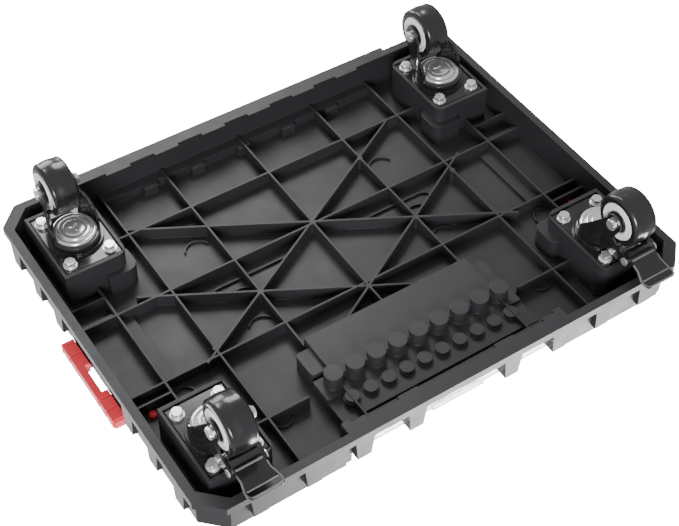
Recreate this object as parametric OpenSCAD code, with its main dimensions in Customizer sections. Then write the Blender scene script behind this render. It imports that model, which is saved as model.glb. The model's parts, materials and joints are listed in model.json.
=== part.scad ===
// Wheeled tool-box dolly: a ribbed moulded deck on four swivel casters, two of them braked,
// with a clear-lidded socket tray in the deck and a red flip-up latch on each short side.
// Millimetres, standing on its wheels: Z = 0 is the floor, X runs along the long side and
// -Y is the front, where the brakes and the tray are.

/* [Deck] */
// Length of the deck over its flange
deck_l = 624; // [610:1:660]
// Width of the deck over its flange
deck_w = 478; // [470:1:500]
// Chamfer at each corner of the flange
corner_cut = 25; // [20:1:30]
// Height of the deck's skin above the underside of the caster pedestals
skin_rise = 48; // [46:1:54]
// Thickness of the deck's skin
skin_t = 3; // [2.5:0.5:4]
// Thickness of the stiffening ribs
rib_t = 2.6; // [2:0.2:3.4]
// Depth of the stiffening ribs below the skin
rib_h = 15.5; // [12:0.5:18]

/* [Casters] */
// Distance from the deck's middle to a caster's swivel axis, along X
caster_x = 250; // [245:1:255]
// Distance from the deck's middle to a caster's swivel axis, along Y
caster_y = 155; // [150:1:158]
// Height of the pedestals' undersides above the floor
caster_h = 81.5; // [80:0.5:84]
// Diameter of the wheels
wheel_d = 63; // [60:1:64]
// Width of the wheels
wheel_w = 32; // [28:1:33]
// How far a wheel's axle trails behind its swivel axis
trail = 33; // [31:1:35]
// Width of a caster pedestal, along X
ped_x = 76; // [74:1:80]
// Length of a caster pedestal, along Y
ped_y = 105; // [102:1:108]

/* [Brakes] */
// Angle that a brake pedal is pushed down through
pedal_turn = 18; // [12:1:18]

/* [Tray] */
// Number of deep sockets in the rear row of the tray
big_count = 9; // [5:1:9]
// Spacing of the deep sockets
big_pitch = 27.2; // [26:0.2:28]
// Number of shallow sockets in the front row of the tray
small_count = 10; // [6:1:10]
// Spacing of the shallow sockets
small_pitch = 23.1; // [21:0.1:23.4]

/* [Hidden] */
$fn = 64;

// corners: [name, side along X, side along Y]
CORNERS = [["fr", 1, -1], ["fl", -1, -1], ["rr", 1, 1], ["rl", -1, 1]];

// heights
axle_z = wheel_d / 2;
ped_z = caster_h;
plate_recess = 4;
plate_top = ped_z + plate_recess;
plate_t = 2.5;
plate_bot = plate_top - plate_t;
race_bot = plate_bot - 3.6;
crown_top = race_bot - 0.4;
crown_t = 5.8;
crown_bot = crown_top - crown_t;
cap_top = crown_bot - 0.4;
cap_t = 3.3;
cap_bot = cap_top - cap_t;
flange_z = ped_z + 5;
flange_lip = 10;
flange_t = 4;
skin_z = ped_z + skin_rise;
skin_top = skin_z + skin_t;
rib_z = skin_z - rib_h;
rail_h = 6;
over = 0.1;

// deck plan
deck_hl = deck_l / 2;
deck_hw = deck_w / 2;
wall_inset = 7;
wall_t = 3;
notch_hx = 138;
notch_in = 21;
shelf_hx = 131;
shelf_in = 17.3;
shelf_z = flange_z + 7;
wall_hl = deck_hl - wall_inset;
wall_hw = deck_hw - wall_inset;
block_top = skin_z - 4.5;
rear_bow = 6;
bow_hx = 225;
pad_hx = 200;
pad_rear = 195;
pad_front = -60;
pad_t = 1;
tier_out = 8;
tier_x = 29;
tier_y = 30;
tier_h = 27;
ped_round = 12;

// tray: rows and edges are Y places, depths are below the skin
tray_floor_t = 2.5;
socket_ring = 1.4;
big_r = 10.5;
small_r = 8;
big_row = 86.5 - deck_hw;
small_row = 58 - deck_hw;
big_depth = 36;
small_depth = 25;
trough_depth = 28;
trough_hx = 107;
trough_rear = 146 - deck_hw;
platform_depth = 19.5;
platform_front = 36.6 - deck_hw;
side_wall_x = 104;
step_x = 127;
STEPS = [[-170, -141, 19.5], [-202, -170, 15.5], [-214, -202, 10]];
well_depth = 23;
well_y0 = -134;
well_y1 = -106;

// caster parts
race_r = 31.5;
crown_r = 28.5;
cap_r = 25;
pin_r = 6;
pin_bore_r = 6.07;
axle_r = 4;
axle_bore_r = 4.06;
leg_in = wheel_w / 2 + 2;
leg_t = 2.5;
bolt_dx = 48;
bolt_dy = 72;
bolt_r = 3.9;
bolt_head_h = 4.7;
washer_h = 2.5;
insert_r = 6;
insert_h = 14;

// brake
pedal_y = 60;
pedal_z = 67.5;
pedal_pin_r = 3;
pedal_t = 2.2;
pedal_reach = 101;
roll_r = 1.5;
knuckle_r = 5;
stop_y = 40;
stop_z = 69.4;

// lid and latches
lid_hx = 133;
lid_front = 17 - deck_hw;
lid_hinge_y = 159 - deck_hw;
lid_hinge_z = skin_top + 3.8;
lid_t = 2.6;
lid_z = skin_top + 0.7;
latch_hy = 62;
latch_x = deck_hl + 9;
latch_axis_x = deck_hl - 20;
latch_axis_z = skin_top + 5;
latch_bot = skin_z - 2.5;
latch_top = skin_top + 8.5;
latch_bar = 8;
window_hy = 20.5;
detent = [282, -75.5];

// the whole object's box is centred on the origin
front_reach = caster_y + pedal_reach;
rear_reach = deck_hw + rear_bow;
y_shift = (front_reach - rear_reach) / 2;

// ---------------------------------------------------------------- helpers

module placed() {
    translate([0, y_shift, 0]) children();
}

module both_x() {
    children();
    mirror([1, 0, 0]) children();
}

module both_y() {
    children();
    mirror([0, 1, 0]) children();
}

// a box given by its lowest and highest corners
module span(a, b) {
    translate(a) cube(b - a);
}

module outline(hl, hw, c) {
    polygon([[hl - c, -hw], [hl, -hw + c], [hl, hw - c], [hl - c, hw],
             [-hl + c, hw], [-hl, hw - c], [-hl, -hw + c], [-hl + c, -hw]]);
}

// moves a caster part from its own swivel axis to its corner; wheels trail outwards
module at_corner(name) {
    i = search([name], CORNERS)[0];
    sx = CORNERS[i][1];
    sy = CORNERS[i][2];
    placed() translate([sx * caster_x, sy * caster_y, 0])
        mirror([0, sy < 0 ? 1 : 0, 0]) children();
}

module at_bolts() {
    for (sx = [-1, 1], sy = [-1, 1])
        translate([sx * bolt_dx / 2, sy * bolt_dy / 2, 0]) children();
}

module ball_ring(count, ring_r, ball_r, z) {
    for (i = [0 : count - 1])
        rotate([0, 0, i * 360 / count]) translate([ring_r, 0, z]) sphere(r = ball_r, $fn = 32);
}

module ball_groove(ring_r, groove_r, z) {
    translate([0, 0, z]) rotate_extrude() translate([ring_r, 0]) circle(r = groove_r, $fn = 24);
}

module x_rod(r, x0, x1, y, z) {
    translate([x0, y, z]) rotate([0, 90, 0]) cylinder(r = r, h = x1 - x0);
}

// a curved low rib standing down from the skin
module arc_rib(x, y, r, a0, a1) {
    translate([x, y, skin_z - 3]) rotate([0, 0, a0])
        rotate_extrude(angle = a1 - a0) translate([r - 1, 0]) square([2, 3 + over]);
}

// ---------------------------------------------------------------- deck

module wall_plan(hl, hw, notch_y) {
    difference() {
        outline(hl, hw, corner_cut);
        translate([-notch_hx - (hl < wall_hl ? wall_t : 0), -deck_hw])
            square([2 * notch_hx + (hl < wall_hl ? 2 * wall_t : 0), notch_y]);
    }
}

// the flange's outline, bowed out along the rear
module flange_plan(inset) {
    outline(deck_hl - inset, deck_hw - inset, corner_cut);
    translate([inset - bow_hx, 0])
        square([2 * (bow_hx - inset), deck_hw + rear_bow - inset]);
}

module deck_shell() {
    // skin and side wall, set back along the front behind the tray lid's lip
    translate([0, 0, skin_z]) linear_extrude(skin_t) wall_plan(wall_hl, wall_hw, notch_in);
    translate([0, 0, flange_z]) linear_extrude(skin_z - flange_z + over) difference() {
        wall_plan(wall_hl, wall_hw, notch_in);
        wall_plan(wall_hl - wall_t, wall_hw - wall_t, notch_in + wall_t);
        translate([-shelf_hx, -deck_hw]) square([2 * shelf_hx, notch_in + wall_t + over]);
    }
    translate([0, 0, shelf_z]) linear_extrude(skin_z - shelf_z + over)
        translate([-shelf_hx - over, notch_in - deck_hw])
            square([2 * (shelf_hx + over), wall_t]);
    // step in the front wall, from the flange up and back to the set-back wall
    span([-shelf_hx, shelf_in - wall_t - deck_hw, flange_z],
         [shelf_hx, shelf_in - deck_hw, shelf_z + wall_t]);
    span([-shelf_hx, shelf_in - wall_t - deck_hw, shelf_z],
         [shelf_hx, notch_in + wall_t - deck_hw, shelf_z + wall_t]);
    both_x() span([shelf_hx - over, wall_inset - deck_hw, flange_z],
                  [shelf_hx + wall_t, notch_in + wall_t - deck_hw, skin_z]);
    // flange and its turned-up lip
    translate([0, 0, flange_z]) linear_extrude(flange_t) difference() {
        flange_plan(0);
        difference() {
            outline(wall_hl - wall_t, wall_hw - wall_t, corner_cut);
            translate([-shelf_hx, -deck_hw]) square([2 * shelf_hx, shelf_in]);
        }
    }
    translate([0, 0, flange_z]) linear_extrude(flange_lip) difference() {
        flange_plan(0);
        flange_plan(wall_t);
    }
    // raised pad in the middle of the top
    span([-pad_hx, pad_front, skin_top - over], [pad_hx, pad_rear, skin_top + pad_t]);
}

// a buttress that tapers upwards, from the wall out to the flange's edge
module buttress(depth) {
    translate([0, over, flange_z + over]) rotate([90, 0, 0]) linear_extrude(depth + over)
        polygon([[-12.5, 0], [12.5, 0], [8.5, block_top - flange_z], [-8.5, block_top - flange_z]]);
}

module buttresses() {
    both_x() {
        for (x = [187, 249]) translate([x, -wall_hw, 0]) buttress(wall_inset);
        for (x = [62, 127]) translate([x, -deck_hw + notch_in, 0]) buttress(notch_in);
        for (x = [62, 127, 187, 249])
            translate([x, wall_hw, 0]) rotate([0, 0, 180])
                buttress(wall_inset + (x < 200 ? rear_bow : 0));
        for (y = [-186, -132, -80, 80, 132, 186])
            translate([wall_hl, y, 0]) rotate([0, 0, 90]) buttress(wall_inset);
    }
    translate([0, wall_hw, 0]) rotate([0, 0, 180]) buttress(wall_inset + rear_bow);
}

// a rectangle between two corners with its two corners on the low X side rounded
module side_rounded(a, b, r) {
    translate([a[0] + r, a[1]]) square([b[0] - a[0] - r, b[1] - a[1]]);
    translate([a[0], a[1] + r]) square([b[0] - a[0], b[1] - a[1] - 2 * r]);
    for (y = [a[1] + r, b[1] - r])
        translate([a[0] + r, y]) circle(r = r);
}

// round corners face the other caster on the same long side, and the wider foot of the
// pedestal is at the corner towards the deck's middle
module pedestals() {
    for (c = CORNERS)
        translate([c[1] * caster_x, c[2] * caster_y, ped_z])
            mirror([c[1] > 0 ? 0 : 1, 0, 0]) mirror([0, c[2] > 0 ? 0 : 1, 0]) {
                linear_extrude(skin_rise + over)
                    side_rounded([-ped_x / 2, -ped_y / 2], [ped_x / 2, ped_y / 2], ped_round);
                translate([0, 0, skin_rise - tier_h]) linear_extrude(tier_h + over)
                    side_rounded([-ped_x / 2 - tier_out, -ped_y / 2 - tier_out],
                                 [-ped_x / 2 + tier_x, -ped_y / 2 + tier_y], ped_round);
            }
}

module rib_y(x, y0, y1) {
    span([x - rib_t / 2, y0, rib_z], [x + rib_t / 2, y1, skin_z + over]);
}

module rib_x(y, x0, x1) {
    span([x0, y - rib_t / 2, rib_z], [x1, y + rib_t / 2, skin_z + over]);
}

// a rib on a slope, through (0, y) and between two X stations
module rib_slant(y, slope, x0, x1) {
    translate([x0, y + slope * x0, 0]) rotate([0, 0, atan(slope)])
        translate([0, -rib_t / 2, rib_z])
            cube([(x1 - x0) / cos(atan(slope)), rib_t, skin_z + over - rib_z]);
}

module ribs() {
    hub_y = 57;
    low_y = -60;
    slope = 0.556;
    edge = wall_hw - wall_t + over;
    side = wall_hl - wall_t + over;
    both_x() {
        rib_y(255, -caster_y, caster_y);
        rib_y(188, -edge, edge);
        rib_y(106, trough_rear, edge);
        rib_x(-152, step_x + 11, caster_x - ped_x / 2 + over);
        rib_x(-69, 255, side);
        rib_x(84, 255, side);
    }
    rib_y(0, trough_rear, edge);
    rib_x(153, -caster_x, caster_x);
    rib_x(54, -side, side);
    rib_x(-54, -side, side);
    rib_slant(hub_y, slope, -212, 188);
    rib_slant(hub_y, -slope, -172, 205);
    rib_slant(low_y, slope, -40, 225);
    rib_slant(low_y, -slope, -212, 45);
    // posts where the ribs meet
    for (p = [[0, hub_y], [0, low_y], [106, -3], [-106, -3], [188, -44], [-188, 37], [-106, 114]])
        translate([p[0], p[1], rib_z]) cylinder(r = 3.2, h = rib_h + over);
}

module skin_details() {
    edge = wall_hw - wall_t + over;
    side = wall_hl - wall_t + over;
    ledge_z = skin_z - 12;
    // stepped ledge along the inside of the rear wall, with square bumps
    span([-190, 217, ledge_z], [190, edge, skin_z + over]);
    for (x = [-128, -64, 0, 64, 128])
        span([x - 9, 209, ledge_z], [x + 9, 218, skin_z + over]);
    for (x = [-160, -96, -32, 32, 96, 160])
        span([x - 16, edge - 4, flange_z], [x + 16, edge, flange_z + flange_t]);
    both_x() {
        // thickened skin beside the outer ribs, and a shelf by the latch
        span([238, -54, skin_z - 4.5], [255, 54, skin_z + over]);
        span([255, 54, ledge_z], [side, 61, skin_z + over]);
        // hook-shaped and crescent-shaped low ribs
        arc_rib(128, 98, 16, 20, 160);
        arc_rib(120, 4, 20, 40, 150);
        arc_rib(124, -38, 16, 30, 150);
        arc_rib(-138, 24, 13, 90, 180);
        span([-139, 36, skin_z - 3], [-30, 38, skin_z + over]);
        arc_rib(172, -150, 13, -150, -30);
        arc_rib(222, -190, 13, -150, -30);
        arc_rib(178, 148, 13, 30, 150);
        arc_rib(242, -74, 13, 60, 200);
    }
}

module big_sockets(r, bottom, top) {
    for (i = [0 : big_count - 1])
        translate([(i - (big_count - 1) / 2) * big_pitch, big_row, bottom])
            cylinder(r = r, h = top - bottom);
}

module small_sockets(r, bottom, top) {
    for (i = [0 : small_count - 1])
        translate([(i - (small_count - 1) / 2) * small_pitch, small_row, bottom])
            cylinder(r = r, h = top - bottom);
}

module tray_outside() {
    top = skin_z + over;
    floor_z = skin_z - platform_depth;
    span([-side_wall_x, platform_front, floor_z], [side_wall_x, big_row, top]);
    span([-trough_hx, big_row, skin_z - trough_depth], [trough_hx, trough_rear, top]);
    big_sockets(big_r, skin_z - big_depth, top);
    big_sockets(big_r + socket_ring, floor_z - 1.2, top);
    small_sockets(small_r, skin_z - small_depth, top);
    small_sockets(small_r + socket_ring, floor_z - 1.2, top);
    both_x() {
        // finger wells at the ends of the trough, their outer corners round
        translate([trough_hx + 18, (well_y0 + well_y1) / 2, skin_z - well_depth])
            rotate([0, 0, 180]) linear_extrude(well_depth + over)
                side_rounded([0, (well_y0 - well_y1) / 2 - 3], [19, (well_y1 - well_y0) / 2 + 3], 5);
        // thin side walls and the steps outside them
        span([side_wall_x, notch_in + over - deck_hw, skin_z - small_depth - 1],
             [side_wall_x + 2.4, -158, top]);
        for (s = STEPS)
            span([side_wall_x - over, s[0], skin_z - s[2]], [step_x, s[1], top]);
    }
}

module tray_inside() {
    t = tray_floor_t;
    top = skin_top + over;
    span([-side_wall_x + t, platform_front + t, skin_z - platform_depth + t],
         [side_wall_x - t, big_row + t + over, top]);
    span([-trough_hx + t, big_row + t, skin_z - trough_depth + t],
         [trough_hx - t, trough_rear - t, top]);
    big_sockets(big_r - 2, skin_z - big_depth + t, top);
    small_sockets(small_r - 1.8, skin_z - small_depth + t, top);
    both_x() {
        span([trough_hx - t - over, well_y0, skin_z - well_depth + t],
             [trough_hx + 15, well_y1, top]);
        for (s = STEPS)
            span([side_wall_x + 2.4 + t, s[0] + t, skin_z - s[2] + t],
                 [step_x - t, s[1] - t, top]);
    }
}

module top_rails() {
    hl = wall_hl - 1;
    hw = wall_hw - 1;
    difference() {
        translate([0, 0, skin_top - over]) linear_extrude(rail_h + over) difference() {
            outline(hl, hw, corner_cut);
            outline(hl - 11, hw - 11, corner_cut);
        }
        span([-hl - 5, -74, skin_top - 1], [hl + 5, 74, skin_top + rail_h + 1]);
        span([-notch_hx - 6, -hw - 1, skin_top - 1], [notch_hx + 6, -hw + 20, skin_top + rail_h + 1]);
    }
}

module pin_lugs() {
    lug_r = 3.2;
    // round-topped lugs for the lid's pins
    both_x() for (x = [80.5, 108]) {
        x_rod(lug_r, x, x + 3.6, lid_hinge_y, lid_hinge_z);
        span([x, lid_hinge_y - lug_r, skin_top - over], [x + 3.6, lid_hinge_y + lug_r, lid_hinge_z]);
    }
    // lugs for the latch pins
    both_x() for (y = [-68, -20.5, 16.5, 64])
        span([latch_axis_x - 4.5, y, skin_top - over],
             [latch_axis_x + 4.5, y + 4, latch_axis_z + 4]);
}

module deck() {
    color("#26282b") placed() difference() {
        union() {
            deck_shell();
            buttresses();
            pedestals();
            ribs();
            skin_details();
            tray_outside();
            top_rails();
            pin_lugs();
        }
        tray_inside();
        for (c = CORNERS)
            translate([c[1] * caster_x, c[2] * caster_y, 0]) {
                // recess for the mounting plate and the pocket above the insert floor
                span([-ped_x / 2 + 3.5, -ped_y / 2 + 4.5, ped_z - over],
                     [ped_x / 2 - 3.5, ped_y / 2 - 4.5, plate_top]);
                for (s = [-1, 1]) {
                    span([-ped_x / 2 + 4, s > 0 ? 2 : -ped_y / 2 + 4, ped_z + 20],
                         [ped_x / 2 - 4, s > 0 ? ped_y / 2 - 4 : -2, skin_top + over]);
                }
                at_bolts() translate([0, 0, plate_top - 1]) cylinder(r = insert_r, h = insert_h + 2);
            }
        both_x() {
            x_rod(1.5, 80, 112, lid_hinge_y, lid_hinge_z);
            translate([latch_axis_x, -69, latch_axis_z]) rotate([-90, 0, 0])
                cylinder(r = 2, h = 138);
            translate([detent[0], detent[1], skin_z - 20]) cylinder(r = 3, h = 30);
        }
    }
}

module threaded_inserts() {
    color("#b08d3e") placed() for (c = CORNERS)
        translate([c[1] * caster_x, c[2] * caster_y, plate_top + 0.2])
            at_bolts() difference() {
                cylinder(r = insert_r, h = insert_h);
                translate([0, 0, -over]) cylinder(r = bolt_r + 0.1, h = insert_h + 2 * over);
            }
}

// ---------------------------------------------------------------- tray lid and latches

module tray_lid() {
    tab_hx = 33.5;
    castle = 20;
    y0 = lid_front;
    axis_y = lid_hinge_y;
    color("#e4eaee", 0.45) placed() difference() {
        union() {
            span([-lid_hx, y0, lid_z], [lid_hx, axis_y - 4, lid_z + lid_t]);
            // front lip, cut into castellations, and the opening tab
            for (i = [-3 : 3])
                span([i * 37 - castle / 2, y0, latch_bot], [i * 37 + castle / 2, y0 + 2.5, lid_z + over]);
            span([-lid_hx + 4, y0, latch_bot + 3], [lid_hx - 4, y0 + 2.5, lid_z + over]);
            span([-tab_hx, y0 - 7, skin_z - 6], [tab_hx, y0 - 4.6, skin_z]);
            span([-tab_hx, y0 - 7, skin_z - 2.4], [tab_hx, y0 + 2.5, skin_z]);
            // raised rim and the panel's stiffening frame
            difference() {
                span([-lid_hx, y0, lid_z], [lid_hx, axis_y - 4, lid_z + lid_t + 1.6]);
                span([-lid_hx + 8, y0 + 8, lid_z - 1], [lid_hx - 8, axis_y - 12, lid_z + 10]);
            }
            // hinge barrels
            both_x() {
                x_rod(3.1, 84.4, 107.7, axis_y, lid_hinge_z);
                span([84.4, axis_y - 6, lid_z], [107.7, axis_y, lid_z + lid_t]);
            }
        }
        both_x() x_rod(1.55, 84, 108, axis_y, lid_hinge_z);
    }
}

module lid_pins() {
    color("silver") placed() both_x() x_rod(1.5, 80.6, 111.4, lid_hinge_y, lid_hinge_z);
}

module latch(side) {
    x_in = wall_hl + 1.5;
    placed() mirror([side > 0 ? 0 : 1, 0, 0]) difference() {
        union() {
            // outer bar, and the thick end blocks either side of the finger window
            span([latch_x - latch_bar, -latch_hy + 2, latch_bot], [latch_x, latch_hy - 2, latch_top - 1.5]);
            both_y() {
                span([x_in, window_hy, latch_bot], [latch_x - over, latch_hy - 2, latch_top]);
                span([x_in, window_hy + 8, latch_bot + 3], [latch_x - 2, latch_hy, latch_top]);
                // arms over the wall to the pin
                span([latch_axis_x, 24, skin_top + 1.2], [x_in + over, 60, latch_top]);
                translate([latch_axis_x, 24, latch_axis_z]) rotate([-90, 0, 0])
                    cylinder(r = 3.5, h = 36);
            }
        }
        translate([latch_axis_x, -latch_hy - 1, latch_axis_z]) rotate([-90, 0, 0])
            cylinder(r = 2.06, h = 2 * latch_hy + 2);
        // shallow grooves across the underside that end in notches in the outer edge
        for (y = [-45, -29, 39, 55.5]) {
            span([x_in - 1, y - 0.6, latch_bot - 1], [latch_x + 1, y + 0.6, latch_bot + 1]);
            span([latch_x - 1.3, y - 1.6, latch_bot - 1], [latch_x + 1, y + 1.6, latch_top + 1]);
        }
    }
}

module latch_pin(side) {
    color("silver") placed() mirror([side > 0 ? 0 : 1, 0, 0])
        translate([latch_axis_x, -68.4, latch_axis_z]) rotate([-90, 0, 0])
            cylinder(r = 2, h = 136.8);
}

module latch_right() {
    color("#d5352c") latch(1);
}

module latch_left() {
    color("#d5352c") latch(-1);
}

module latch_pin_right() {
    latch_pin(1);
}

module latch_pin_left() {
    latch_pin(-1);
}

// red plugs pushed up through the skin, with a domed head below it and a stop above it
module latch_detents() {
    head_r = 4.6;
    color("#c62f27") placed() both_x() translate([detent[0], detent[1], 0]) {
        translate([0, 0, skin_z - 4]) cylinder(r = head_r, h = 4);
        translate([0, 0, skin_z - 5.4]) cylinder(r1 = head_r - 1.8, r2 = head_r, h = 1.4 + over);
        translate([0, 0, skin_z - over]) cylinder(r = 2.95, h = skin_t + 0.8);
        translate([0, 0, skin_top + 0.1]) cylinder(r = 4.4, h = 2.4);
    }
}

// ---------------------------------------------------------------- caster

module caster_plate() {
    color("#1d1e20") difference() {
        union() {
            span([-33, -46, plate_bot], [33, 46, plate_top]);
            translate([0, 0, race_bot]) cylinder(r = race_r, h = plate_bot - race_bot + over);
        }
        translate([0, 0, race_bot - 1]) cylinder(r = pin_r, h = 20);
        ball_groove(22, 2.5, race_bot - 0.2);
        at_bolts() translate([0, 0, plate_bot - 1]) cylinder(r = bolt_r + 0.2, h = 5);
    }
}

module plate_bolts() {
    color("#c9cdd2") at_bolts() {
        translate([0, 0, plate_bot - washer_h - bolt_head_h])
            cylinder(r = 6.6, h = bolt_head_h + over, $fn = 6);
        translate([0, 0, plate_bot - washer_h]) cylinder(r = 7.6, h = washer_h);
        translate([0, 0, plate_bot - over]) cylinder(r = bolt_r, h = 14.5);
    }
}

module kingpin() {
    color("#c9cdd2") difference() {
        union() {
            translate([0, 0, cap_bot]) cylinder(r = pin_r, h = plate_top - cap_bot - 0.3);
            translate([0, 0, cap_bot]) cylinder(r = cap_r, h = cap_t);
            // domed middle with a raised ring round it
            translate([0, 0, cap_bot - 1.4]) cylinder(r = 15.5, h = 1.5);
            translate([0, 0, cap_bot - 2.2]) cylinder(r = 9.5, h = 1);
        }
        translate([0, 0, cap_bot - 3]) difference() {
            cylinder(r = 21.6, h = 4.2);
            translate([0, 0, -1]) cylinder(r = 17.2, h = 7);
        }
        ball_groove(14, 2.1, cap_top + 0.2);
        // star-shaped staking mark
        for (a = [0, 60, 120])
            rotate([0, 0, a]) span([-6, -0.8, cap_bot - 3], [6, 0.8, cap_bot - 1.5]);
    }
}

module race_balls() {
    color("silver") {
        ball_ring(18, 22, 2.4, race_bot - 0.2);
        ball_ring(12, 14, 2, cap_top + 0.2);
    }
}

module leg_side(braked) {
    polygon([[-7, crown_top], [26, crown_top], [trail + 11, axle_z], [trail - 11, axle_z],
             [-7, 63]]);
    translate([trail, axle_z]) circle(r = 11);
    if (braked) {
        polygon([[10, crown_bot + 1], [stop_y, stop_z + 5.5], [pedal_y, pedal_z + 5],
                 [pedal_y + 5, pedal_z], [pedal_y, pedal_z - 5], [35, 52], [20, 50]]);
        translate([pedal_y, pedal_z]) circle(r = 5);
    }
}

module fork(braked) {
    color("#18191b") difference() {
        union() {
            translate([0, 0, crown_bot + 1.5]) cylinder(r = crown_r, h = crown_t - 1.5);
            translate([0, 0, crown_bot]) cylinder(r1 = crown_r - 1.5, r2 = crown_r, h = 1.6);
            // legs: curved shoulders round the cap that run into flat plates
            intersection() {
                rotate([90, 0, 90]) translate([0, 0, -40]) linear_extrude(80) leg_side(braked);
                union() {
                    difference() {
                        translate([0, 0, 10]) cylinder(r = crown_r, h = 80);
                        translate([0, 0, 9]) cylinder(r = crown_r - leg_t, h = 90);
                        span([-leg_in, -50, 9], [leg_in, 50, 90]);
                        span([-40, 21, 9], [40, 50, 90]);
                    }
                    both_x() span([leg_in, 19, 10], [leg_in + leg_t, 80, 90]);
                }
            }
            // bridge over the wheel
            span([-leg_in - over, 19, crown_bot], [leg_in + over, 30, crown_bot + 3]);
        }
        translate([0, 0, crown_bot - 1]) cylinder(r = pin_bore_r, h = crown_t + 2);
        ball_groove(22, 2.5, race_bot - 0.2);
        ball_groove(14, 2.1, cap_top + 0.2);
        x_rod(axle_r, -30, 30, trail, axle_z);
        if (braked) {
            x_rod(pedal_pin_r, -30, 30, pedal_y, pedal_z);
            x_rod(pedal_pin_r - 0.6, -30, 30, stop_y, stop_z);
        }
    }
}

module axle() {
    head = leg_in + leg_t;
    color("#c9cdd2") {
        x_rod(axle_r, -head - 6.5, head + 1, trail, axle_z);
        translate([head, trail, axle_z]) rotate([0, 90, 0]) cylinder(r = 6.9, h = 5, $fn = 6);
        translate([-head - 5.6, trail, axle_z]) rotate([0, 90, 0])
            cylinder(r = 6.9, h = 5.6, $fn = 6);
    }
}

// sleeve with a dust cap pressed into each side of the hub
module bearing() {
    half = wheel_w / 2;
    color("#141414") difference() {
        union() {
            x_rod(6, -half - 1.4, half + 1.4, trail, axle_z);
            x_rod(12.5, -half - 0.4, -half + 3, trail, axle_z);
            x_rod(12.5, half - 3, half + 0.4, trail, axle_z);
        }
        x_rod(axle_bore_r, -30, 30, trail, axle_z);
    }
}

module hub() {
    half = wheel_w / 2;
    color("#ece7db") translate([0, trail, axle_z]) rotate([0, 90, 0]) rotate_extrude()
        polygon([[6, -half + 5], [12.5, -half + 5], [12.5, -half + 1], [14.5, -half - 0.2],
                 [20.5, -half - 0.2], [22.6, -half + 1.4], [22.6, half - 1.4],
                 [20.5, half + 0.2], [14.5, half + 0.2], [12.5, half - 1], [12.5, half - 5],
                 [6, half - 5]]);
}

module tyre() {
    half = wheel_w / 2;
    shoulder = 6;
    color("#1c1c1e") translate([0, trail, axle_z]) rotate([0, 90, 0]) rotate_extrude() {
        difference() {
            union() {
                translate([22.6, -half + shoulder]) square([axle_z - 22.6, wheel_w - 2 * shoulder]);
                translate([22.6, -half]) square([axle_z - 22.6 - shoulder, wheel_w]);
                for (s = [-1, 1])
                    translate([axle_z - shoulder, s * (half - shoulder)]) circle(r = shoulder);
            }
            translate([0, -half - 1]) square([22.6, wheel_w + 2]);
        }
    }
}

// ---------------------------------------------------------------- brake

// the tread seen from its end, from the pivot outwards: a flat run, a bend and a rolled toe
module tread_side() {
    toe = pedal_reach - pedal_y - roll_r;
    polygon([[2, -6.1], [30, -3.1], [toe, -6.1], [toe, -3.9], [30, -3.1 + pedal_t],
             [2, -6.1 + pedal_t]]);
    translate([toe, -4.4]) circle(r = roll_r);
}

// the tread seen from above: narrow between the cheeks, wider towards the toe
module tread_plan() {
    toe = pedal_reach - pedal_y;
    round_r = 6;
    waist = leg_in - 1;
    wide = 20.5;
    polygon([[-waist, 0], [waist, 0], [waist, 18], [wide, 29], [wide, toe - round_r],
             [wide - round_r, toe], [round_r - wide, toe], [-wide, toe - round_r], [-wide, 29],
             [-waist, 18]]);
    both_x() translate([wide - round_r, toe - round_r]) circle(r = round_r);
}

// drawn pushed down at one front corner and sprung up by tilt at the other
module brake_pedal(tilt) {
    knuckle_hx = leg_in - 0.6;
    color("#17181a") translate([0, pedal_y, pedal_z]) rotate([tilt, 0, 0]) difference() {
        union() {
            x_rod(knuckle_r, -knuckle_hx, knuckle_hx, 0, 0);
            intersection() {
                rotate([90, 0, 90]) translate([0, 0, -30]) linear_extrude(60) tread_side();
                translate([0, 0, -10]) linear_extrude(20) tread_plan();
            }
            // brake shoe that bears down on the tyre
            rotate([90, 0, 90]) translate([0, 0, -knuckle_hx]) linear_extrude(2 * knuckle_hx)
                polygon([[-1, -3], [3, -3], [-2.6, -13], [-6.6, -11.5]]);
        }
        x_rod(pedal_pin_r + 0.06, -30, 30, 0, 0);
    }
}

module brake_pins() {
    out = leg_in + leg_t;
    color("#c9cdd2") {
        x_rod(pedal_pin_r, -out - 0.2, out + 0.2, pedal_y, pedal_z);
        both_x() x_rod(4.6, out, out + 1.6, pedal_y, pedal_z);
        x_rod(pedal_pin_r - 0.6, -out - 0.2, out + 0.2, stop_y, stop_z);
        both_x() x_rod(3.8, out, out + 1.5, stop_y, stop_z);
    }
}

// leaf spring wrapped round the stop pin, reaching out over the shoe
module brake_spring() {
    color("#c9cdd2") difference() {
        union() {
            x_rod(3.8, -12, 12, stop_y, stop_z);
            span([-12, stop_y, stop_z + 2.6], [12, pedal_y - 7, stop_z + 3.6]);
        }
        x_rod(pedal_pin_r - 0.6, -30, 30, stop_y, stop_z);
    }
}

// ---------------------------------------------------------------- the object

module caster_part(part, corner) {
    braked = corner == "fr" || corner == "fl";
    at_corner(corner) {
        if (part == "plate") caster_plate();
        if (part == "plate_bolts") plate_bolts();
        if (part == "kingpin") kingpin();
        if (part == "race_balls") race_balls();
        if (part == "fork") fork(braked);
        if (part == "axle") axle();
        if (part == "bearing") bearing();
        if (part == "hub") hub();
        if (part == "tyre") tyre();
        if (part == "brake_pedal") brake_pedal(corner == "fl" ? pedal_turn : 0);
        if (part == "brake_pins") brake_pins();
        if (part == "brake_spring") brake_spring();
    }
}

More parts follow.
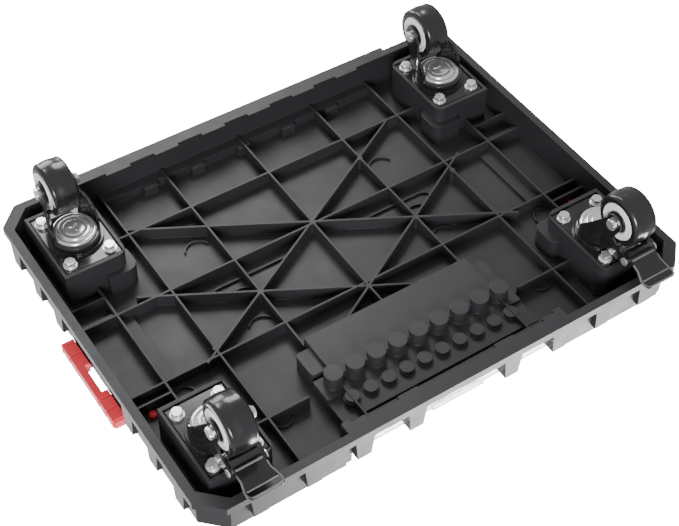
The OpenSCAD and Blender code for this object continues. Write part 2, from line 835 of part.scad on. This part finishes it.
deck();
threaded_inserts();
tray_lid();
lid_pins();
latch_right();
latch_left();
latch_pin_right();
latch_pin_left();
latch_detents();
for (c = ["fr", "fl", "rr", "rl"]) {
    for (p = ["plate", "plate_bolts", "kingpin", "race_balls", "fork", "axle", "bearing",
              "hub", "tyre"])
        caster_part(p, c);
}
for (c = ["fr", "fl"]) {
    for (p = ["brake_pedal", "brake_pins", "brake_spring"])
        caster_part(p, c);
}
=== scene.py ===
import json
import math

import bmesh
import bpy
from mathutils import Matrix, Vector


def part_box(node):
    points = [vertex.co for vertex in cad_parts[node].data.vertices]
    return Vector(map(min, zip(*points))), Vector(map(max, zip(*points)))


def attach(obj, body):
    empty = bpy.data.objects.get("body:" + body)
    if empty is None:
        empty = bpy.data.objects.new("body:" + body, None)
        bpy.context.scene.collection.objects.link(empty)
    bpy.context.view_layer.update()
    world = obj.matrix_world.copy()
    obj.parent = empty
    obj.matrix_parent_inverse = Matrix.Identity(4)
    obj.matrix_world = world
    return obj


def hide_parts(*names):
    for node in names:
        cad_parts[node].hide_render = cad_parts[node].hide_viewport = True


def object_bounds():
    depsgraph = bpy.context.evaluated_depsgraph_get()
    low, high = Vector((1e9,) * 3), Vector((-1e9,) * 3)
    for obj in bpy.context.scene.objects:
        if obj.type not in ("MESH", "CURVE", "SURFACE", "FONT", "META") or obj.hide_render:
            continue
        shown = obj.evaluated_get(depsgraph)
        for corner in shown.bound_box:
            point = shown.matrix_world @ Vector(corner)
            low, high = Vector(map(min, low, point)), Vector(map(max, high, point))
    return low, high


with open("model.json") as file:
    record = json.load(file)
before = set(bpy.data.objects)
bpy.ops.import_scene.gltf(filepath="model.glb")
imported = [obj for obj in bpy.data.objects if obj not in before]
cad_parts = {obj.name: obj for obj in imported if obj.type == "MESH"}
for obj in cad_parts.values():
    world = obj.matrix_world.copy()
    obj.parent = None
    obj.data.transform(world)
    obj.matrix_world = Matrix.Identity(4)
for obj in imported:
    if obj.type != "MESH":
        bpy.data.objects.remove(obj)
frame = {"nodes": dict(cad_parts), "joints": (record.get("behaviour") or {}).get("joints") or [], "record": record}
cad_lo, cad_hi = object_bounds()

MM = 0.001
CORNERS = ("fr", "fl", "rr", "rl")
BRAKED_CORNERS = ("fr", "fl")
JOINTS = {joint["name"]: joint for joint in frame["joints"]}
SLOT_OF = {part["node"]: part["material_slot"] for part in frame["record"]["subparts"]}


# ------------------------------------------------------------------ shader nodes

# Most of a noise's values lie between these
NOISE_RANGE = (0.3, 0.7)
# Cosine between the true and the rounded normal where an edge begins, and where it is full
FLAT_COSINE, EDGE_COSINE = 0.98, 0.8


class Shader:
    """A material's node tree with one Principled shader, and short calls to feed it."""

    def __init__(self, name, colour, rough, metal=0.0, **sockets):
        self.mat = bpy.data.materials.new(name)
        self.mat.use_nodes = True
        self.tree = self.mat.node_tree
        self.bsdf = self.tree.nodes["Principled BSDF"]
        self.bsdf.inputs["Base Color"].default_value = (*colour, 1.0)
        self.bsdf.inputs["Roughness"].default_value = rough
        self.bsdf.inputs["Metallic"].default_value = metal
        for key, value in sockets.items():
            self.bsdf.inputs[key.replace("_", " ")].default_value = value
        self.coords = self.node("ShaderNodeTexCoord").outputs["Object"]
        self.normal = None

    def node(self, kind, **settings):
        n = self.tree.nodes.new(kind)
        for key, value in settings.items():
            setattr(n, key, value)
        return n

    def link(self, a, b):
        self.tree.links.new(a, b)

    def noise(self, scale, detail=3.0, rough=0.5, stretch=None):
        """Noise over the object, scale in lumps a metre. stretch draws the lumps out along an axis."""
        n = self.node("ShaderNodeTexNoise")
        n.inputs["Scale"].default_value = scale
        n.inputs["Detail"].default_value = detail
        n.inputs["Roughness"].default_value = rough
        source = self.coords
        if stretch:
            m = self.node("ShaderNodeMapping")
            m.inputs["Scale"].default_value = stretch
            self.link(source, m.inputs["Vector"])
            source = m.outputs["Vector"]
        self.link(source, n.inputs["Vector"])
        return n.outputs["Fac"]

    def spread(self, factor, low, high, to_low=0.0, to_high=1.0):
        """Maps the range low to high of a factor onto to_low to to_high."""
        n = self.node("ShaderNodeMapRange")
        self.link(factor, n.inputs["Value"])
        for key, value in (("From Min", low), ("From Max", high),
                           ("To Min", to_low), ("To Max", to_high)):
            n.inputs[key].default_value = value
        return n.outputs["Result"]

    def patches(self, scale, detail, low, high, rough=0.5, stretch=None):
        """Noise cut to patches: none where it is under low, full where it is over high."""
        return self.spread(self.noise(scale, detail, rough, stretch), low, high)

    def times(self, a, b):
        """A factor times another factor or a number."""
        n = self.node("ShaderNodeMath", operation="MULTIPLY")
        self.link(a, n.inputs[0])
        if isinstance(b, float):
            n.inputs[1].default_value = b
        else:
            self.link(b, n.inputs[1])
        return n.outputs["Value"]

    def tint(self, factor, colour, strength):
        """Mixes a colour over what feeds the base colour, by a factor."""
        base = self.bsdf.inputs["Base Color"]
        n = self.node("ShaderNodeMix", data_type="RGBA")
        if base.is_linked:
            self.link(base.links[0].from_socket, n.inputs["A"])
        else:
            n.inputs["A"].default_value = base.default_value
        n.inputs["B"].default_value = (*colour, 1.0)
        self.link(self.times(factor, strength), n.inputs["Factor"])
        self.link(n.outputs["Result"], base)

    def roughness(self, factor, low, high):
        """Varies the roughness between low and high with a noise."""
        varied = self.spread(factor, *NOISE_RANGE, low, high)
        self.link(varied, self.bsdf.inputs["Roughness"])

    def soft_edges(self, radius):
        """Rounds the shading of edges, and returns a factor that is high on the edges."""
        b = self.node("ShaderNodeBevel", samples=4)
        b.inputs["Radius"].default_value = radius
        self.normal = b.outputs["Normal"]
        g = self.node("ShaderNodeNewGeometry")
        d = self.node("ShaderNodeVectorMath", operation="DOT_PRODUCT")
        self.link(b.outputs["Normal"], d.inputs[0])
        self.link(g.outputs["True Normal"], d.inputs[1])
        self.link(self.normal, self.bsdf.inputs["Normal"])
        return self.spread(d.outputs["Value"], FLAT_COSINE, EDGE_COSINE)

    def bump(self, height, strength, distance):
        """Adds a bump on top of the edges and bumps that are already there."""
        n = self.node("ShaderNodeBump")
        n.inputs["Strength"].default_value = strength
        n.inputs["Distance"].default_value = distance
        self.link(height, n.inputs["Height"])
        if self.normal is not None:
            self.link(self.normal, n.inputs["Normal"])
        self.normal = n.outputs["Normal"]
        self.link(self.normal, self.bsdf.inputs["Normal"])


# ------------------------------------------------------------------ materials

def moulded_plastic(name, base, pale, rough, edge=0.35):
    """Injection-moulded plastic: spark-eroded grain, faint flow tone, edges lightened as part rubbed wear and part
    painted highlight, fine scuffs.
    """
    s = Shader(name, base, rough, Specular_IOR_Level=0.5)
    edges = s.soft_edges(0.7 * MM)
    flow_tone = s.patches(7, 3, 0.35, 0.7)
    clouds = s.patches(60, 6, 0.6, 0.78, rough=0.7)
    scuffs = s.patches(70, 5, 0.68, 0.76, rough=0.6, stretch=(1, 0.05, 0.3))
    s.tint(flow_tone, pale, 0.18)
    s.tint(clouds, pale, 0.2)
    s.tint(scuffs, [min(1, v * 2) for v in pale], 0.15)
    # Edges lightened: partly rubbed wear, partly a painted highlight along every edge
    s.tint(edges, [min(1, v * 1.6) for v in pale], edge)
    s.roughness(s.noise(35, 4), rough - 0.03, rough + 0.04)
    grain = s.noise(2600, 2)
    s.bump(grain, 0.35, 0.12 * MM)
    return s.mat


def black_coat(name, colour=(0.011, 0.011, 0.012)):
    """Gloss black coat over pressed steel: orange peel, a few rubbed edges and dust."""
    s = Shader(name, colour, 0.22, Coat_Weight=0.6, Coat_Roughness=0.1)
    edges = s.soft_edges(0.9 * MM)
    rubbed = s.times(edges, s.patches(180, 4, 0.56, 0.68))
    dust = s.patches(26, 5, 0.5, 0.75, rough=0.7)
    s.tint(rubbed, (0.3, 0.3, 0.31), 0.4)
    s.tint(dust, (0.022, 0.022, 0.024), 0.5)
    s.roughness(s.noise(90, 4), 0.16, 0.26)
    orange_peel = s.noise(300, 2)
    s.bump(orange_peel, 0.06, 0.12 * MM)
    return s.mat


def zinc_plate(name, turned=False):
    """Bright zinc plate with a faint bloom and handling marks. A turned cap is smoother."""
    s = Shader(name, (0.93, 0.94, 0.95), 0.26, metal=0.82)
    yellow_bloom = s.patches(60, 3, 0.45, 0.7)
    blue_bloom = s.patches(35, 3, 0.5, 0.75)
    marks = s.patches(420, 5, 0.66, 0.74, rough=0.8)
    s.tint(yellow_bloom, (0.88, 0.87, 0.83), 0.5)
    s.tint(blue_bloom, (0.72, 0.75, 0.8), 0.4)
    s.tint(marks, (0.5, 0.5, 0.51), 0.4)
    if turned:
        s.roughness(s.noise(90, 3), 0.2, 0.27)
        s.bump(s.noise(400, 2), 0.02, 0.03 * MM)
        return s.mat
    edges = s.soft_edges(0.3 * MM)
    s.tint(edges, (0.97, 0.97, 0.98), 0.5)
    s.roughness(s.noise(240, 5, 0.7), 0.18, 0.3)
    s.bump(s.noise(1100, 2), 0.05, 0.03 * MM)
    return s.mat


def plain_steel(name, colour=(0.56, 0.56, 0.58), rough=0.3):
    """Bare turned metal: dull patches, and fine lines round the bar."""
    s = Shader(name, colour, rough, metal=1.0)
    dull = s.patches(300, 5, 0.5, 0.7, rough=0.7)
    s.tint(dull, [v * 0.6 for v in colour], 0.5)
    s.roughness(s.noise(500, 4), rough - 0.1, rough + 0.12)
    turning_lines = s.noise(1500, 2, stretch=(0.1, 1, 1))
    s.bump(turning_lines, 0.15, 0.06 * MM)
    return s.mat


def polyurethane(name):
    """Glossy black wheel tread with a little dust and light rolling marks."""
    s = Shader(name, (0.012, 0.012, 0.014), 0.22, Coat_Weight=0.4, Coat_Roughness=0.12,
               Specular_IOR_Level=0.6)
    dust = s.patches(45, 5, 0.52, 0.74, rough=0.7)
    marks = s.patches(520, 4, 0.68, 0.76, rough=0.7)
    s.tint(dust, (0.04, 0.04, 0.042), 0.35)
    s.tint(marks, (0.14, 0.135, 0.13), 0.25)
    s.roughness(s.noise(120, 4), 0.18, 0.3)
    s.bump(s.noise(60, 3), 0.05, 0.25 * MM)
    s.bump(s.noise(700, 3), 0.06, 0.06 * MM)
    return s.mat


def cream_nylon(name):
    """Cream moulded nylon: a little light comes through it, with grease specks and pale edges."""
    s = Shader(name, (0.9, 0.885, 0.84), 0.34, Subsurface_Weight=0.08, Subsurface_Scale=0.004)
    edges = s.soft_edges(0.3 * MM)
    yellowing = s.patches(140, 5, 0.55, 0.78, rough=0.7)
    specks = s.patches(900, 4, 0.7, 0.78, rough=0.8)
    s.tint(yellowing, (0.8, 0.77, 0.7), 0.4)
    s.tint(specks, (0.45, 0.43, 0.4), 0.35)
    s.tint(edges, (0.95, 0.94, 0.9), 0.4)
    s.roughness(s.noise(200, 3), 0.26, 0.42)
    s.bump(s.noise(1400, 2), 0.12, 0.08 * MM)
    return s.mat


def clear_sheet(name):
    """Clear moulded polycarbonate with faint flow lines and handling haze."""
    s = Shader(name, (0.93, 0.95, 0.97), 0.12, Transmission_Weight=0.68, IOR=1.45,
               Specular_IOR_Level=0.5)
    haze = s.patches(40, 4, 0.4, 0.7)
    s.tint(haze, (0.84, 0.87, 0.91), 0.5)
    s.roughness(s.noise(30, 4), 0.1, 0.24)
    s.bump(s.noise(16, 2), 0.12, 0.8 * MM)
    s.bump(s.noise(1500, 2), 0.05, 0.05 * MM)
    return s.mat


MATERIALS = {
    "deck_plastic": moulded_plastic("deck_plastic", (0.024, 0.024, 0.027), (0.038, 0.038, 0.042), 0.44),
    "red_plastic": moulded_plastic("red_plastic", (0.92, 0.05, 0.07), (0.95, 0.1, 0.11), 0.42, edge=0.1),
    "black_plastic": moulded_plastic("black_plastic", (0.016, 0.016, 0.017), (0.03, 0.03, 0.032), 0.36),
    "black_paint": black_coat("black_paint"),
    # A lighter grey coat that paints the bright highlights along the pedal's edges and creases
    "pedal_highlight_coat": black_coat("pedal_highlight_coat", (0.17, 0.17, 0.175)),
    "zinc": zinc_plate("zinc"),
    "zinc_turned": zinc_plate("zinc_turned", turned=True),
    "steel_pin": plain_steel("steel_pin"),
    "ball_steel": plain_steel("ball_steel", (0.7, 0.7, 0.72), 0.16),
    "brass": plain_steel("brass", (0.66, 0.47, 0.19), 0.3),
    "tyre_pu": polyurethane("tyre_pu"),
    "hub_plastic": cream_nylon("hub_plastic"),
    "clear_plastic": clear_sheet("clear_plastic"),
}


# ------------------------------------------------------------------ mesh helpers

TURN_TO = {"Z": Matrix.Identity(3), "X": Matrix.Rotation(math.radians(90), 3, "Y")}


def new_piece(name, bm, slot, body, replaces=(), look=None):
    """Turns a bmesh into a finished piece that rides on a body.

    slot is its material slot in the record. look names another material where the piece's
    own finish differs from that slot's. replaces lists the CAD nodes that it stands for.
    """
    bmesh.ops.recalc_face_normals(bm, faces=bm.faces)
    mesh = bpy.data.meshes.new(name)
    bm.to_mesh(mesh)
    bm.free()
    mesh.materials.append(MATERIALS[look or slot])
    for polygon in mesh.polygons:
        polygon.use_smooth = True
    mesh.set_sharp_from_angle(angle=math.radians(35))
    piece = bpy.data.objects.new(name, mesh)
    bpy.context.scene.collection.objects.link(piece)
    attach(piece, body)
    if replaces:
        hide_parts(*replaces)
    return piece


def rings(bm, loops, close_ends=True):
    """Joins a list of point loops, all the same length, into a tube, and returns its rows."""
    rows = [[bm.verts.new(p) for p in loop] for loop in loops]
    count = len(rows[0])
    for a, b in zip(rows, rows[1:]):
        for i in range(count):
            j = (i + 1) % count
            bm.faces.new((a[i], a[j], b[j], b[i]))
    if close_ends:
        bm.faces.new(rows[0][::-1])
        bm.faces.new(rows[-1])
    return rows


def lathe(bm, profile, at, axis="Z", steps=96, closed=False):
    """Spins (radius, height) points about an axis through a place. closed joins last to first."""
    turn = TURN_TO[axis]
    loops = []
    for r, h in profile:
        loops.append([turn @ Vector((r * math.cos(2 * math.pi * i / steps),
                                     r * math.sin(2 * math.pi * i / steps), h)) + Vector(at)
                      for i in range(steps)])
    if closed:
        rows = rings(bm, loops, close_ends=False)
        for i in range(steps):
            j = (i + 1) % steps
            bm.faces.new((rows[-1][i], rows[-1][j], rows[0][j], rows[0][i]))
    else:
        rings(bm, loops)


def arc(cx, cy, r, a0, a1, steps):
    """Points on an arc in a lathe profile, angles in degrees."""
    return [(cx + r * math.cos(math.radians(a0 + (a1 - a0) * i / steps)),
             cy + r * math.sin(math.radians(a0 + (a1 - a0) * i / steps)))
            for i in range(steps + 1)]


def both_faces(outline, half):
    """A closed profile from one face's outline, its (radius, height) in mm from the face.

    The faces lie half the part's width out from its middle, and the second is a mirror image.
    """
    side = [(r * MM, half + h * MM) for r, h in outline]
    return side + [(r, -h) for r, h in side[::-1]]


def hex_prism(bm, at, apothem, h0, h1, axis="Z", turn=0.0):
    """A hexagon head or nut between two heights, its corners chamfered at both ends."""
    steps = 72
    chamfer = 0.9 * MM
    spin = TURN_TO[axis]
    corner = apothem / math.cos(math.radians(30))

    def loop(limit, h):
        points = []
        for i in range(steps):
            a = 2 * math.pi * i / steps
            within = (math.degrees(a) + 30) % 60 - 30
            r = min(apothem / math.cos(math.radians(within)), limit)
            p = Vector((r * math.cos(a + turn), r * math.sin(a + turn), h))
            points.append(spin @ p + Vector(at))
        return points

    flat = apothem * 0.995
    face = flat * 0.9
    step = chamfer if h1 > h0 else -chamfer
    rings(bm, [loop(face, h0), loop(flat, h0), loop(corner, h0 + step),
               loop(corner, h1 - step), loop(flat, h1), loop(face, h1)])


def tube(bm, path, radius):
    """A round bar along a path that stays near level, with rounded-down ends."""
    steps = 12
    last = len(path) - 1
    loops = []
    for i, p in enumerate(path):
        along = (path[min(i + 1, last)] - path[max(i - 1, 0)]).normalized()
        side = along.cross(Vector((0, 0, 1))).normalized()
        up = side.cross(along)
        r = radius if 0 < i < last else radius * 0.5
        loops.append([p + (side * math.cos(2 * math.pi * k / steps)
                           + up * math.sin(2 * math.pi * k / steps)) * r
                      for k in range(steps)])
    rings(bm, loops)


# ------------------------------------------------------------------ the CAD parts' looks

# Radius in mm of the rounded edges of the CAD parts that show them
ROUNDING = {"deck": 0.45, "tray_lid": 0.5, "latch_right": 1.0, "latch_left": 1.0, "latch_detents": 0.5}
ROUNDING |= {f"{part}_{c}": 0.5 for part in ("fork", "plate") for c in CORNERS}
ROUNDING |= {f"brake_pedal_{c}": 0.5 for c in BRAKED_CORNERS}


def dress_cad_parts():
    """Gives every carried-over CAD part its material, and rounds the edges that show."""
    for name, part in frame["nodes"].items():
        part.data.materials.clear()
        part.data.materials.append(MATERIALS[SLOT_OF[name]])
        if name in ROUNDING:
            bevel = part.modifiers.new("round_edges", "BEVEL")
            bevel.width = ROUNDING[name] * MM
            bevel.segments = 2
            bevel.limit_method = "ANGLE"
            bevel.angle_limit = math.radians(50)
            bevel.harden_normals = False


# ------------------------------------------------------------------ wheels and casters

# Half the distance between a plate's bolts, along X and along Y
BOLT_HALF_X, BOLT_HALF_Y = 24 * MM, 36 * MM


def swivel_axis(c):
    return Vector(JOINTS["swivel_" + c]["pos_m"])


def wheel_axis(c):
    return Vector(JOINTS["roll_" + c]["pos_m"])


def build_tyre(c):
    """Polyurethane tread with a crown, round shoulders and a fine parting line."""
    lo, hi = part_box("tyre_" + c)
    half, outer = (hi.x - lo.x) / 2, (hi.z - lo.z) / 2
    inner = 22.4 * MM
    shoulder = 7.5 * MM
    parting = 0.4 * MM
    # how much lower the crown is part way out, and where it meets the shoulder
    slight, full = 0.35 * MM, 0.9 * MM
    crown_end = half - shoulder * 1.1
    crown = [(outer - full, -crown_end), (outer - slight, -half * 0.3), (outer, -parting),
             (outer, parting), (outer - slight, half * 0.3), (outer - full, crown_end)]
    round_shoulder = arc(outer - full - shoulder * 0.85, -half + shoulder, shoulder, -90, -20, 8)
    left = [(min(r, outer - 0.95 * MM), h) for r, h in round_shoulder]
    right = [(r, -h) for r, h in left[::-1]]
    profile = [(inner, -half + 0.8 * MM), (inner + 0.9 * MM, -half + 0.1 * MM)]
    profile += left + crown + right
    profile += [(inner + 0.9 * MM, half - 0.1 * MM), (inner, half - 0.8 * MM)]
    bm = bmesh.new()
    lathe(bm, profile, wheel_axis(c), "X", steps=128, closed=True)
    new_piece("tread_" + c, bm, "tyre_pu", "wheel_" + c, ["tyre_" + c])


def build_hub(c):
    """Cream nylon core: dished face ring, bead round the tread and a stepped bore."""
    lo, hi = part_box("hub_" + c)
    face = [(12.6, -4.5), (12.8, -1.6), (13.6, -0.5), (14.6, 0), (16.2, 0), (16.8, -0.45),
            (19.2, -0.6), (19.8, -0.1), (21.4, -0.1), (22.2, -0.7), (22.6, -1.8)]
    bm = bmesh.new()
    lathe(bm, both_faces(face, (hi.x - lo.x) / 2), wheel_axis(c), "X", steps=96, closed=True)
    new_piece("core_" + c, bm, "hub_plastic", "wheel_" + c, ["hub_" + c])


def build_bearing(c):
    """Sleeve and the two stepped dust caps."""
    lo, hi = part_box("bearing_" + c)
    cap = [(4.15, 0), (6.0, 0), (6.0, -0.9), (7.2, -1.1), (7.6, -1.9), (10.2, -1.9), (10.8, -1.2),
           (12.1, -1.2), (12.5, -1.7), (12.5, -4.4)]
    bm = bmesh.new()
    lathe(bm, both_faces(cap, (hi.x - lo.x) / 2), wheel_axis(c), "X", steps=72, closed=True)
    new_piece("dust_caps_" + c, bm, "black_plastic", "wheel_" + c, ["bearing_" + c])


def build_axle(c):
    """Hex-headed axle bolt with a lock nut, washers and its thread end, along X."""
    lo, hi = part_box("axle_" + c)
    at = wheel_axis(c)
    leg = 20.5 * MM         # from the wheel's middle to the fork leg's outer face
    nut = 5.6 * MM
    apothem = 6 * MM
    core, bore = 0.2 * MM, 4 * MM
    end = lo.x - at.x
    bm = bmesh.new()
    rod = [(core, end), (3.1 * MM, end), (3.9 * MM, end + 0.8 * MM),
           (3.95 * MM, leg + 1 * MM), (core, leg + 1 * MM)]
    lathe(bm, rod, at, "X", steps=48)
    hex_prism(bm, at, apothem, leg, hi.x - at.x, "X", turn=0.3)
    hex_prism(bm, at, apothem, -leg - nut + 1.2 * MM, -leg - 0.7 * MM, "X", turn=0.7)
    nylon_collar = [(bore, -leg - nut), (5.2 * MM, -leg - nut), (5.6 * MM, -leg - nut + 0.7 * MM),
                    (5.6 * MM, -leg - nut + 1.4 * MM), (bore, -leg - nut + 1.4 * MM)]
    washer = [(bore, -leg), (6.7 * MM, -leg), (6.7 * MM, -leg - 0.9 * MM), (bore, -leg - 0.9 * MM)]
    lathe(bm, nylon_collar, at, "X", steps=48, closed=True)
    lathe(bm, washer, at, "X", steps=48, closed=True)
    new_piece("axle_bolt_" + c, bm, "zinc", "caster_" + c, ["axle_" + c])


def build_kingpin(c):
    """Zinc cap with its concentric pressed rings and the staked star in the middle."""
    lo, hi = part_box("kingpin_" + c)
    at = swivel_axis(c)
    at.z = 0
    cap = lo.z + 2.2 * MM
    rim, stem, core = 25 * MM, 6 * MM, 0.3 * MM
    top = cap + 3.3 * MM
    pressed_rings = [(25, 2.6), (24.8, 1.3), (24, 0.4), (22.8, 0), (20.8, 0.1), (20.2, 0.5),
                     (19.9, 1.6), (19.2, 1.9), (18.8, 1.2), (18.5, -0.4), (17.9, -1.1), (16.9, -1.4),
                     (13.4, -1.6), (12.9, -1.3), (12.5, -1.3), (12, -1.75), (10.9, -2.0),
                     (5, -2.3), (0.3, -2.35)]
    profile = [(core, hi.z), (stem, hi.z), (stem, top), (rim, top)]
    profile += [(r * MM, cap + h * MM) for r, h in pressed_rings]
    bm = bmesh.new()
    lathe(bm, profile, at, "Z", steps=96)
    add_staked_lobes(bm, at, cap - 2.1 * MM)
    new_piece("king_cap_" + c, bm, "zinc", "deck_body", ["kingpin_" + c], look="zinc_turned")


def add_staked_lobes(bm, at, z):
    """Three flattened lobes that meet as a star, where the kingpin was staked over."""
    reach = 3.6 * MM
    half_sizes = (3.9 * MM, 1.5 * MM, 0.9 * MM, 1)
    for k in range(3):
        a = math.radians(120 * k + 25)
        middle = at + Vector((math.cos(a), math.sin(a), 0)) * reach
        lobe = bmesh.new()
        bmesh.ops.create_uvsphere(lobe, u_segments=20, v_segments=10, radius=1.0)
        lobe.transform(Matrix.Translation((middle.x, middle.y, z))
                       @ Matrix.Rotation(a, 4, "Z")
                       @ Matrix.Diagonal(half_sizes))
        mesh = bpy.data.meshes.new("lobe")
        lobe.to_mesh(mesh)
        lobe.free()
        bm.from_mesh(mesh)
        bpy.data.meshes.remove(mesh)


def build_plate_bolts(c):
    """Four hex bolts, each on a flat washer and a spring washer."""
    lo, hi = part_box("plate_bolts_" + c)
    centre = swivel_axis(c)
    plate = lo.z + 7.2 * MM
    washer, split = plate - 1.3 * MM, plate - 2.5 * MM
    core, bore, rod = 0.2 * MM, 4 * MM, 3.9 * MM
    flat_washer = [(bore, plate), (7.6 * MM, plate), (7.9 * MM, plate - 0.3 * MM),
                   (7.8 * MM, washer + 0.1 * MM), (bore, washer)]
    spring_washer = [(bore, washer), (6.5 * MM, washer), (6.6 * MM, split + 0.1 * MM), (bore, split)]
    thread = [(core, hi.z), (3.3 * MM, hi.z), (rod, hi.z - 0.8 * MM), (rod, split), (core, split)]
    bm = bmesh.new()
    for i, (sx, sy) in enumerate(((-1, -1), (1, -1), (1, 1), (-1, 1))):
        at = Vector((centre.x + sx * BOLT_HALF_X, centre.y + sy * BOLT_HALF_Y, 0))
        lathe(bm, flat_washer, at, steps=48, closed=True)
        lathe(bm, spring_washer, at, steps=48, closed=True)
        hex_prism(bm, at, 5.7 * MM, split, lo.z, turn=0.5 + 1.3 * i)
        lathe(bm, thread, at, steps=32)
    new_piece("hex_bolts_" + c, bm, "zinc", "deck_body", ["plate_bolts_" + c])


def build_pedal_beads(c):
    """Rolled edge round a pedal's tread, the crease across it and a bar at its root, in a lighter coat that paints
    the highlights along them.
    """
    joint = JOINTS["brake_" + c]
    lift = Matrix.Rotation(-math.radians(joint["range_deg"][1]), 3, "X")
    pivot = Vector(joint["pos_m"])
    # the tread seen from its side, in mm: how far out from the pivot, and how far above it
    root, crease, toe = (2, -5), (30, -2), (39.5, -5)
    half_toe, corner = 19.6, 5.2

    def on_tread(x, y):
        """The place x mm across the tread and y mm out from the pivot."""
        (y0, z0), (y1, z1) = (root, crease) if y < crease[0] else (crease, toe)
        z = z0 + (y - y0) * (z1 - z0) / (y1 - y0)
        return pivot + lift @ (Vector((x, -y, z)) * MM)

    side = [(16.6, 9), (16.6, 10), (16.6, 18), (18.2, 24), (19.5, 29), (half_toe, 31), (half_toe, 34)]
    side += [(half_toe - corner + corner * math.cos(math.radians(a)),
              toe[0] - corner + corner * math.sin(math.radians(a))) for a in (15, 35, 55, 75)]
    side += [(12, toe[0]), (6, toe[0])]
    bm = bmesh.new()
    tube(bm, [on_tread(x, y) for x, y in side] + [on_tread(-x, y) for x, y in side[::-1]], 1.35 * MM)
    under = lift @ Vector((0, 0, -1.2 * MM))
    # The crease bar and the bar 5 mm out at the pedal's root are lighter bars that paint the highlights seen there
    for y, half_width, radius in ((crease[0], 18, 1.1), (5, 15.5, 1.4)):
        across = (-half_width, 0.5 - half_width, 0, half_width - 0.5, half_width)
        tube(bm, [on_tread(x, y) + under for x in across], radius * MM)
    new_piece("pedal_edge_" + c, bm, "black_paint", "pedal_" + c, look="pedal_highlight_coat")


# ------------------------------------------------------------------ camera, lights and floor

LIGHTS = (
    # name, place, target, width in metres, watts
    ("under_key", (-0.38, 1.15, -1.15), (0, 0.03, 0.12), 0.8, 13),
    ("under_fill", (1.1, -1.7, -0.6), (0, 0, 0.1), 0.9, 54),
    ("under_rim", (0.2, 2.0, -0.5), (0, 0, 0.1), 1.2, 18),
    ("upper_key", (-1.0, -1.3, 1.9), (0, 0, 0.1), 1.2, 60),
    ("upper_fill", (1.6, 1.0, 1.5), (0, 0, 0.1), 1.4, 34),
)
WORLD_LIGHT = 0.5
FLOOR_GLOW = 20.0
FLOOR_HALF_WIDTH = 8.0
FLOOR_GAP = 0.5 * MM


def build_camera():
    """Looks up at the underside from below the front right corner, with the deck's top downwards."""
    place = Vector((0.6012, -0.8703, -1.0604))
    target = Vector((0.0214, -0.0266, 0.09))
    roll_deg = -1.27
    camera = bpy.data.objects.new("camera", bpy.data.cameras.new("camera"))
    bpy.context.scene.collection.objects.link(camera)
    camera.data.sensor_width = 36.0
    camera.data.lens = 73.84
    forward = (target - place).normalized()
    right = forward.cross(Vector((0, 0, -1))).normalized()
    up = right.cross(forward)
    roll = Matrix.Rotation(math.radians(roll_deg), 3, forward)
    right, up = roll @ right, roll @ up
    turn = Matrix((right, up, -forward)).transposed()
    camera.matrix_world = Matrix.Translation(place) @ turn.to_4x4()
    camera.data.clip_start, camera.data.clip_end = 0.01, 100
    bpy.context.scene.camera = camera


def area_light(name, place, target, size, power):
    lamp = bpy.data.lights.new(name, "AREA")
    lamp.shape = "DISK"
    lamp.size = size
    lamp.energy = power
    light = bpy.data.objects.new(name, lamp)
    light.location = place
    light.rotation_euler = (Vector(target) - Vector(place)).to_track_quat("-Z", "Y").to_euler()
    bpy.context.scene.collection.objects.link(light)


def build_lights():
    """Soft lamps under and over the object, in an even white surround."""
    for light in LIGHTS:
        area_light(*light)
    world = bpy.data.worlds.new("studio")
    world.use_nodes = True
    world.node_tree.nodes["Background"].inputs["Color"].default_value = (1, 1, 1, 1)
    world.node_tree.nodes["Background"].inputs["Strength"].default_value = WORLD_LIGHT
    bpy.context.scene.world = world


def floor_material(name):
    """Pale floor seen from one side only, so that it never hides the object from the other."""
    mat = bpy.data.materials.new(name)
    mat.use_nodes = True
    nodes, links = mat.node_tree.nodes, mat.node_tree.links
    bsdf = nodes["Principled BSDF"]
    bsdf.inputs["Base Color"].default_value = (0.93, 0.93, 0.93, 1)
    bsdf.inputs["Roughness"].default_value = 0.8
    bsdf.inputs["Emission Color"].default_value = (1, 1, 1, 1)
    bsdf.inputs["Emission Strength"].default_value = FLOOR_GLOW
    side = nodes.new("ShaderNodeNewGeometry")
    clear = nodes.new("ShaderNodeBsdfTransparent")
    mix = nodes.new("ShaderNodeMixShader")
    links.new(side.outputs["Backfacing"], mix.inputs["Fac"])
    links.new(bsdf.outputs["BSDF"], mix.inputs[1])
    links.new(clear.outputs["BSDF"], mix.inputs[2])
    links.new(mix.outputs["Shader"], nodes["Material Output"].inputs["Surface"])
    return mat


def build_floor(name, z, faces_up):
    """A wide floor at a height. It gives the object no shadow or light of its own."""
    bm = bmesh.new()
    bmesh.ops.create_grid(bm, x_segments=2, y_segments=2, size=FLOOR_HALF_WIDTH)
    if not faces_up:
        bmesh.ops.reverse_faces(bm, faces=bm.faces)
    mesh = bpy.data.meshes.new(name)
    bm.to_mesh(mesh)
    bm.free()
    mesh.materials.append(floor_material(name))
    floor = bpy.data.objects.new(name, mesh)
    floor.location.z = z
    bpy.context.scene.collection.objects.link(floor)
    floor.visible_shadow = False
    floor.visible_diffuse = False
    floor.visible_glossy = False


# ------------------------------------------------------------------ assembly

dress_cad_parts()
for corner in CORNERS:
    build_tyre(corner)
    build_hub(corner)
    build_bearing(corner)
    build_axle(corner)
    build_kingpin(corner)
    build_plate_bolts(corner)

for corner in BRAKED_CORNERS:
    build_pedal_beads(corner)

build_camera()
build_lights()
build_floor("floor", cad_lo.z - FLOOR_GAP, True)
build_floor("floor_turned_over", cad_hi.z + FLOOR_GAP, False)
